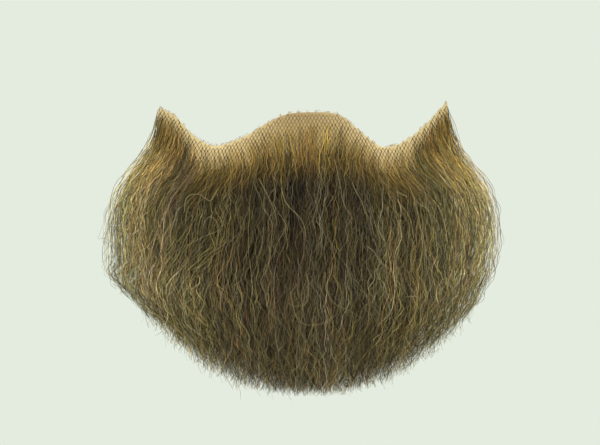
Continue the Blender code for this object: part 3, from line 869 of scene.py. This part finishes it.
def front_strands(group, across, level, chance):
    """Paths of hairs rooted on the front: out of the net, over those below, down to the tips."""
    count = len(across)
    fall = fall_of(across, level)
    share = np.linspace(0, 1, group.points)[None, :]
    clump_roots = chance.choice(count, size=max(FEWEST_CLUMPS, count // CLUMP_SIZE), replace=False)
    apart = CLUMP_NARROWING * (across[:, None] - across[clump_roots]) ** 2
    apart = apart + (fall[:, None] - fall[clump_roots]) ** 2
    clump = (apart + chance.uniform(0, CLUMP_MIXING, apart.shape)).argmin(axis=1)
    clumps = len(clump_roots)
    lowest = smooth(across, column(LONG_REACHES, "across"), column(LONG_REACHES, "fall"))
    lowest = lowest - LOWEST_SPREAD * chance.uniform(0, 1, count) ** 2
    reach = np.minimum(fall + chance.uniform(group.short, group.long, count), lowest)
    falls = fall[:, None] + (reach - fall)[:, None] * share
    rise = 1 - np.exp(-(falls - fall[:, None]) / RISE_FALL)
    at_side = abs(across) > SIDE_START
    if is_outer(group):
        layer = chance.uniform(*OUTER_LAYERS, count)
    else:
        layer = np.clip(chance.normal(*USUAL_LAYER, count), *LAYER_LIMITS)
        spread = chance.uniform(*SIDE_LAYERS, count)
        on_outline = chance.uniform(0, 1, count) < OUTLINE_SHARE
        spread = np.where(on_outline, chance.uniform(*OUTLINE_LAYERS, count), spread)
        layer = np.where(at_side, spread, layer)
    # Painted shade: hairs on the outline at the sides are darker.
    shade = np.where((layer > SIDE_LAYERS[1]) & at_side, OUTLINE_SHADE, 1.0)
    layer = layer * (1 + SIDE_SWELL * across**6)
    depth = layer[:, None] * rise
    gather = (GATHER * chance.uniform(0.0, 1.0, count))[:, None] * share**GATHER_POWER
    lateral = across[:, None] + gather * (across[clump_roots][clump] - across)[:, None]
    lateral = lateral + chance.normal(0, CLUMP_SPREAD, clumps)[clump][:, None] * share**CLUMP_SPREAD_POWER
    lateral = lateral + chance.normal(0, HAIR_SPREAD, count)[:, None] * share**HAIR_SPREAD_POWER
    if group.low >= SLANT_LOW or is_outer(group):
        slanted = chance.uniform(0, 1, count) < SLANT_SHARE
        slant = SLANT * slanted * np.tanh(SLANT_STEEPNESS * across) * chance.uniform(SLANT_LEAST, 1.0, count)
        lateral = lateral + slant[:, None] * share
    tangled = chance.uniform(0, 1, count) < TANGLE_SHARE
    lateral = lateral + (tangled * chance.normal(0, TANGLE, count))[:, None] * share
    lateral = lateral + FAN * (np.sin(math.pi * across) * (1 - abs(across)))[:, None] * rise
    turned = np.clip((falls - SWIRL_START) / SWIRL_LENGTH, 0, 1)
    near = np.exp(-(((across - SWIRL_ACROSS) / SWIRL_WIDTH) ** 2))
    swirls = chance.uniform(0, 1, count) < SWIRL_SHARE
    near = near * np.where(swirls, chance.uniform(*SWIRL_FOLLOWING, count), SWIRL_REST)
    lateral = lateral - SWIRL_REACH * near[:, None] * turned**2 * (3 - 2 * turned)
    lateral = np.clip(lateral, -SIDE_LIMIT, SIDE_LIMIT)
    base = front_hair_point(lateral, falls, depth)
    for _ in range(SMOOTHINGS):
        base[:, 1:-1] = (base[:, :-2] + 2 * base[:, 1:-1] + base[:, 2:]) / 4
    length = hair_length(base)
    out = outward(lateral)
    aside = np.stack([-out[..., 1], out[..., 0], 0 * out[..., 0]], axis=-1)
    clump_period = chance.uniform(CLUMP_WAVE.shortest, CLUMP_WAVE.longest, clumps)[clump][:, None]
    clump_phase = chance.uniform(0, 2 * math.pi, clumps)[clump][:, None]
    clump_height = chance.uniform(CLUMP_WAVE.least, CLUMP_WAVE.greatest, clumps)[clump][:, None]
    together = clump_height * np.sin(clump_phase + 2 * math.pi * (length / clump_period))
    grow = np.clip(length / GROW_LENGTH, 0, 1)
    loosen = np.clip(length / LOOSEN_LENGTH, 0, 1)
    curl = share**CURL_POWER
    calm = (1 - CALM_SIDES * across**4)[:, None]
    rough = (1 + SIDE_CRIMP * across**2)[:, None]
    frizz = rough * (ROOT_CRIMP + FRIZZ_GAIN * share)
    sideways = grow * (together + frizz * wave(length, CRIMP, chance, count))
    sideways = sideways + loosen * wave(length, SWAY, chance, count)
    sideways = sideways + curl * chance.normal(0, CURL_SIDEWAYS, count)[:, None]
    crimped = OUTWARD_CLUMP * together + OUTWARD_CRIMP * wave(length, CRIMP, chance, count)
    outwards = calm * grow * crimped
    outwards = outwards + calm * curl * chance.normal(0.0, CURL_OUTWARDS, count)[:, None]
    made = base + sideways[..., None] * aside + outwards[..., None] * out
    made[..., 2] += curl * chance.uniform(*CURL_UPWARDS, count)[:, None]
    # Painted shade: hairs that lie deeper in the mass, nearer the lace, are darker, less so near the
    # hairline and at the sides, where the hair is thin.
    depth_shade = DEEPEST_SHADE + (1 - DEEPEST_SHADE) * np.clip(depth, 0, 1) ** 2
    thin = np.maximum(np.clip(1 - falls / GOLD_FALL, 0, 1), np.clip(abs(lateral) * 2 - 1, 0, 1))
    light = depth_shade + (1 - depth_shade) * thin
    # Painted shine: painted highlight and shade in stretches along each hair, stronger at the sides.
    painted_shine = 1 + (1 + SIDE_PAINTED_SHINE * lateral**2) * wave(length, PAINTED_SHINE, chance, count)
    painted_shine = np.clip(painted_shine, *PAINTED_SHINE_LIMITS)
    tone = np.clip(chance.normal(1, CLUMP_TONE, clumps), *CLUMP_TONE_LIMITS)[clump][:, None, None]
    tint = chance.uniform(1 - CLUMP_TINT, 1 + CLUMP_TINT, (clumps, 3))[clump][:, None]
    colours = strand_colours(lateral, falls, chance) * tone * tint
    return made, colours * (light * shade[:, None] * painted_shine)[..., None]


def under_strands(group, across, level, chance):
    """Paths of hairs rooted under the chin: straight down, turning a little forward."""
    count = len(across)
    share = np.linspace(0, 1, group.points)[None, :]
    root = off_lace(across, level, LACE_WALL)
    drop = UNDER_HAIR_DROP * smooth(level, column(UNDER_BODY, "level"), column(UNDER_BODY, "drop"))
    drop = drop * (1 - SIDE_THINNING * across**2) * chance.uniform(group.short, group.long, count)
    drop = np.maximum(drop, UNDER_LEAST)
    base = root[:, None] + np.zeros((1, group.points, 3))
    base[..., 2] -= drop[:, None] * share
    base[..., 1] -= (drop * chance.uniform(0.0, UNDER_TURN, count))[:, None] * share**2
    length = drop[:, None] * share
    grow = np.clip(length / GROW_LENGTH, 0, 1)
    base[..., 0] += grow * (wave(length, CRIMP, chance, count) + wave(length, SWAY, chance, count))
    base[..., 1] += grow * wave(length, CRIMP, chance, count)
    lateral = across[:, None] + 0 * share
    return base, strand_colours(lateral, LOW_START + 0 * lateral, chance)


def strand_colours(across, falls, chance):
    """A colour for each point of each hair: golden near the lace, then the hair's own kind with painted
    light and shade by place, and painted glints at the sides.
    """
    side = np.clip(abs(across[:, 0]) * SIDE_KIND_GAIN - SIDE_KIND_START, 0, 1)
    middle = np.array(column(KINDS, "middle"))
    common = middle + side[:, None] * (np.array(column(KINDS, "side")) - middle)
    own = pick_kind(common, chance)
    golden = pick_kind(np.tile(column(KINDS, "edge"), (len(across), 1)), chance)
    gold_fall = GOLD_FALL + GOLD_ASIDE * np.minimum(abs(across), GOLD_WIDEST)
    away = np.clip(falls / gold_fall, 0, 1)[..., None]
    away = away**2 * (3 - 2 * away)
    colour = golden[:, None] * (1 - away) + own[:, None] * away
    # Painted light and shade by place: lighter towards the sides and low in the middle, darker low at the
    # sides, lighter in some patches and darker in others; near the lace the golden colour is left as it is.
    sideways = np.clip(abs(across) / LIGHT_WIDTH, 0, 1)[..., None]
    light = MIDDLE_LIGHT + (SIDE_LIGHT - MIDDLE_LIGHT) * sideways**SIDE_POWER
    low = np.clip((falls - LOW_START) / (1 - LOW_START), 0, 1)[..., None]
    aside = np.clip(abs(across), 0, 1)[..., None]
    light = light * (1 + (LOW_LIGHT - 1) * low * (1 - aside)) * (1 - SIDE_FADE * low * aside)
    for light_patch in PAINTED_LIGHT_PATCHES:
        apart = ((across - light_patch.across) / light_patch.wide) ** 2 + ((falls - light_patch.fall) / light_patch.tall) ** 2
        light = light * (1 + light_patch.amount * np.exp(-apart))[..., None]
    colour = colour * (light * away + 1 - away)
    outer = np.clip((abs(across) - GLINT_FROM) / (1 - GLINT_FROM), 0, 1)
    shines = chance.uniform(0, 1, across.shape) < GLINT_SHARE * outer * (falls > GLINT_FALL)
    glint = GLINT_MIX * shines[..., None]
    return colour * (1 - glint) + np.array(GLINT_COLOUR) * glint


def pick_kind(common, chance):
    """The colour of one kind of hair for each row of how common the kinds are."""
    count = len(common)
    limits = np.cumsum(common / common.sum(axis=1, keepdims=True), axis=1)
    kind = (chance.uniform(0, 1, count)[:, None] > limits).sum(axis=1).clip(0, len(KINDS) - 1)
    palette = np.array([(row.red, row.green, row.blue) for row in KINDS])
    tones = chance.uniform(*HAIR_TONES, (count, 1))
    return palette[kind] * tones * chance.uniform(*HAIR_TINTS, (count, 3))


def make_hair(across, level, chance):
    """All hairs but the stray ones. Gives the material and the crossings that carry hair."""
    material = hair_material()
    used = np.zeros(len(across), bool)
    for group in GROUPS:
        weight = root_weight(group, across, level)
        picked = chance.choice(len(across), size=group.count, p=weight / weight.sum())
        used[picked] = True
        strands = under_strands if group.node == "under_chin_hair" else front_strands
        paths, colours = strands(group, across[picked], level[picked], chance)
        taper = np.interp(np.linspace(0, 1, group.points), TAPER_SHARES, TAPER_WIDTHS)
        radii = group.radius * chance.uniform(*HAIR_WIDTHS, group.count)[:, None] * taper
        # Painted light: the outermost hairs are lighter.
        if is_outer(group):
            colours = colours * OUTER_PAINTED_LIGHT
        piece = tubes(group.name, paths, radii, group.sides, chance, material, colours)
        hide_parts(group.node)
    return material, used


def curve_through(points, count):
    """A smooth path of so many points through the given ones."""
    points = np.asarray(points, float)
    places = np.arange(len(points))
    at = np.linspace(0, len(points) - 1, count)
    return np.stack([smooth(at, places, points[:, k]) for k in range(points.shape[1])], axis=-1)


def stray_hairs(chance, material):
    """Single long hairs on top of the rest and flying off it, placed as seen from the front."""
    columns = np.linspace(-1, 1, STRAY_STEPS)
    across, fall = np.meshgrid(columns, np.linspace(0, STRAY_LOWEST, STRAY_STEPS))
    surface = front_hair_point(across, fall, STRAY_LAYER).reshape(-1, 3)
    nearer = 1 - STRAY_DEPTH / CAMERA_DISTANCE
    paths = []
    for stray in STRAYS:
        x = (np.array(stray.across_px) - ORIGIN_PX[0]) * METRES_PER_PIXEL * nearer
        z = (ORIGIN_PX[1] - np.array(stray.down_px)) * METRES_PER_PIXEL * nearer
        apart = (surface[:, 0] - x[:, None]) ** 2 + (surface[:, 2] - z[:, None]) ** 2
        y = surface[apart.argmin(axis=1), 1] - STRAY_LIFT
        y[0] += STRAY_SINK
        paths.append(curve_through(np.stack([x, y, z], axis=-1), STRAY_POINTS))
    paths = np.array(paths)
    radii = np.full(paths.shape[:2], STRAY_RADIUS) * np.linspace(1.0, STRAY_TIP, STRAY_POINTS)
    colours = np.array(STRAY_COLOUR) * chance.uniform(*STRAY_TONES, (len(paths), 1, 1))
    colours = colours * np.ones((1, STRAY_POINTS, 1))
    return tubes("stray_hairs", paths, radii, STRAY_SIDES, chance, material, colours)


def edge_threads(chance):
    """Little loops of net thread along the cut top edge."""
    across = np.sort(chance.uniform(-1, 1, EDGE_LOOPS))
    share = np.linspace(0, 1, LOOP_POINTS)
    lift = 4 * share * (1 - share) * chance.uniform(*LOOP_HEIGHTS, EDGE_LOOPS)[:, None]
    along = across[:, None] + (share - 0.5) * chance.uniform(*LOOP_SPANS, EDGE_LOOPS)[:, None]
    paths = off_lace(np.clip(along, -1, 1), np.ones_like(along), 0.5 * LACE_WALL)
    paths[..., 2] += lift
    paths[..., 1] += lift * chance.normal(0, LOOP_LEAN, EDGE_LOOPS)[:, None]
    radii = np.full(paths.shape[:2], LOOP_RADIUS)
    material = thread_material("edge_thread", LOOP_TONES)
    return tubes("lace_edge_threads", paths, radii, THREAD_SIDES, chance, material)


def make_stage():
    """A pale floor that fades out, a pale surrounding and two soft lamps."""
    mesh = bpy.data.meshes.new("floor")
    reach = FLOOR_REACH
    corners = [(-reach, -reach, 0), (reach, -reach, 0), (reach, reach, 0), (-reach, reach, 0)]
    mesh.from_pydata(corners, [], [(0, 1, 2, 3)])
    floor = bpy.data.objects.new("floor", mesh)
    floor.location = (0, 0, FLOOR_HEIGHT)
    bpy.context.scene.collection.objects.link(floor)
    material, tree, shader = node_tree("floor")
    place = tree.nodes.new("ShaderNodeTexCoord")
    spread = tree.nodes.new("ShaderNodeTexGradient")
    spread.gradient_type = "SPHERICAL"
    size = tree.nodes.new("ShaderNodeMapping")
    size.inputs["Scale"].default_value = (1 / reach, 1 / reach, 1 / reach)
    fade = ramp(tree, FLOOR_FADE)
    tree.links.new(place.outputs["Object"], size.inputs["Vector"])
    tree.links.new(size.outputs["Vector"], spread.inputs["Vector"])
    tree.links.new(spread.outputs["Fac"], fade.inputs["Fac"])
    tree.links.new(fade.outputs["Color"], shader.inputs["Alpha"])
    shader.inputs["Base Color"].default_value = FLOOR_COLOUR
    shader.inputs["Roughness"].default_value = FLOOR_ROUGHNESS
    shader.inputs["Specular IOR Level"].default_value = FLOOR_SHINE
    mesh.materials.append(material)
    world = bpy.data.worlds.new("studio")
    bpy.context.scene.world = world
    world.use_nodes = True
    background = world.node_tree.nodes["Background"]
    background.inputs["Color"].default_value = WORLD_COLOUR
    background.inputs["Strength"].default_value = 1.0
    for lamp in LAMPS:
        light = bpy.data.lights.new(lamp.name, "AREA")
        light.energy = lamp.power
        light.size = lamp.size
        made = bpy.data.objects.new(lamp.name, light)
        made.location = lamp.place
        facing = Vector(LIT_PLACE) - Vector(lamp.place)
        made.rotation_euler = facing.to_track_quat("-Z", "Y").to_euler()
        bpy.context.scene.collection.objects.link(made)


def make_camera():
    """A camera straight in front, as the photo was taken."""
    data = bpy.data.cameras.new("camera")
    camera = bpy.data.objects.new("camera", data)
    x = (CENTRE_PX[0] - ORIGIN_PX[0]) * METRES_PER_PIXEL
    z = (ORIGIN_PX[1] - CENTRE_PX[1]) * METRES_PER_PIXEL
    camera.location = (x, -CAMERA_DISTANCE, z)
    camera.rotation_euler = (math.pi / 2, 0, 0)
    data.sensor_width = SENSOR_WIDTH
    data.lens = SENSOR_WIDTH * CAMERA_DISTANCE / (PICTURE_WIDTH_PX * METRES_PER_PIXEL)
    data.clip_start = NEAREST
    bpy.context.scene.collection.objects.link(camera)
    bpy.context.scene.camera = camera


def main():
    bpy.context.scene.view_settings.view_transform = "Standard"
    chance = np.random.default_rng(SEED)
    make_camera()
    make_stage()
    film, net, surface, across, level = make_lace(chance)
    hair, used = make_hair(across, level, chance)
    strays = stray_hairs(chance, hair)
    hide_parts("chin_hair")
    loops = edge_threads(chance)
    knot_piece = knots(across[used], level[used], chance, hair)
    for piece, slot in ((film, "lace"), (net, "lace"), (loops, "lace"), (knot_piece, "dark_hair")):
        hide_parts("lace_foundation")


main()
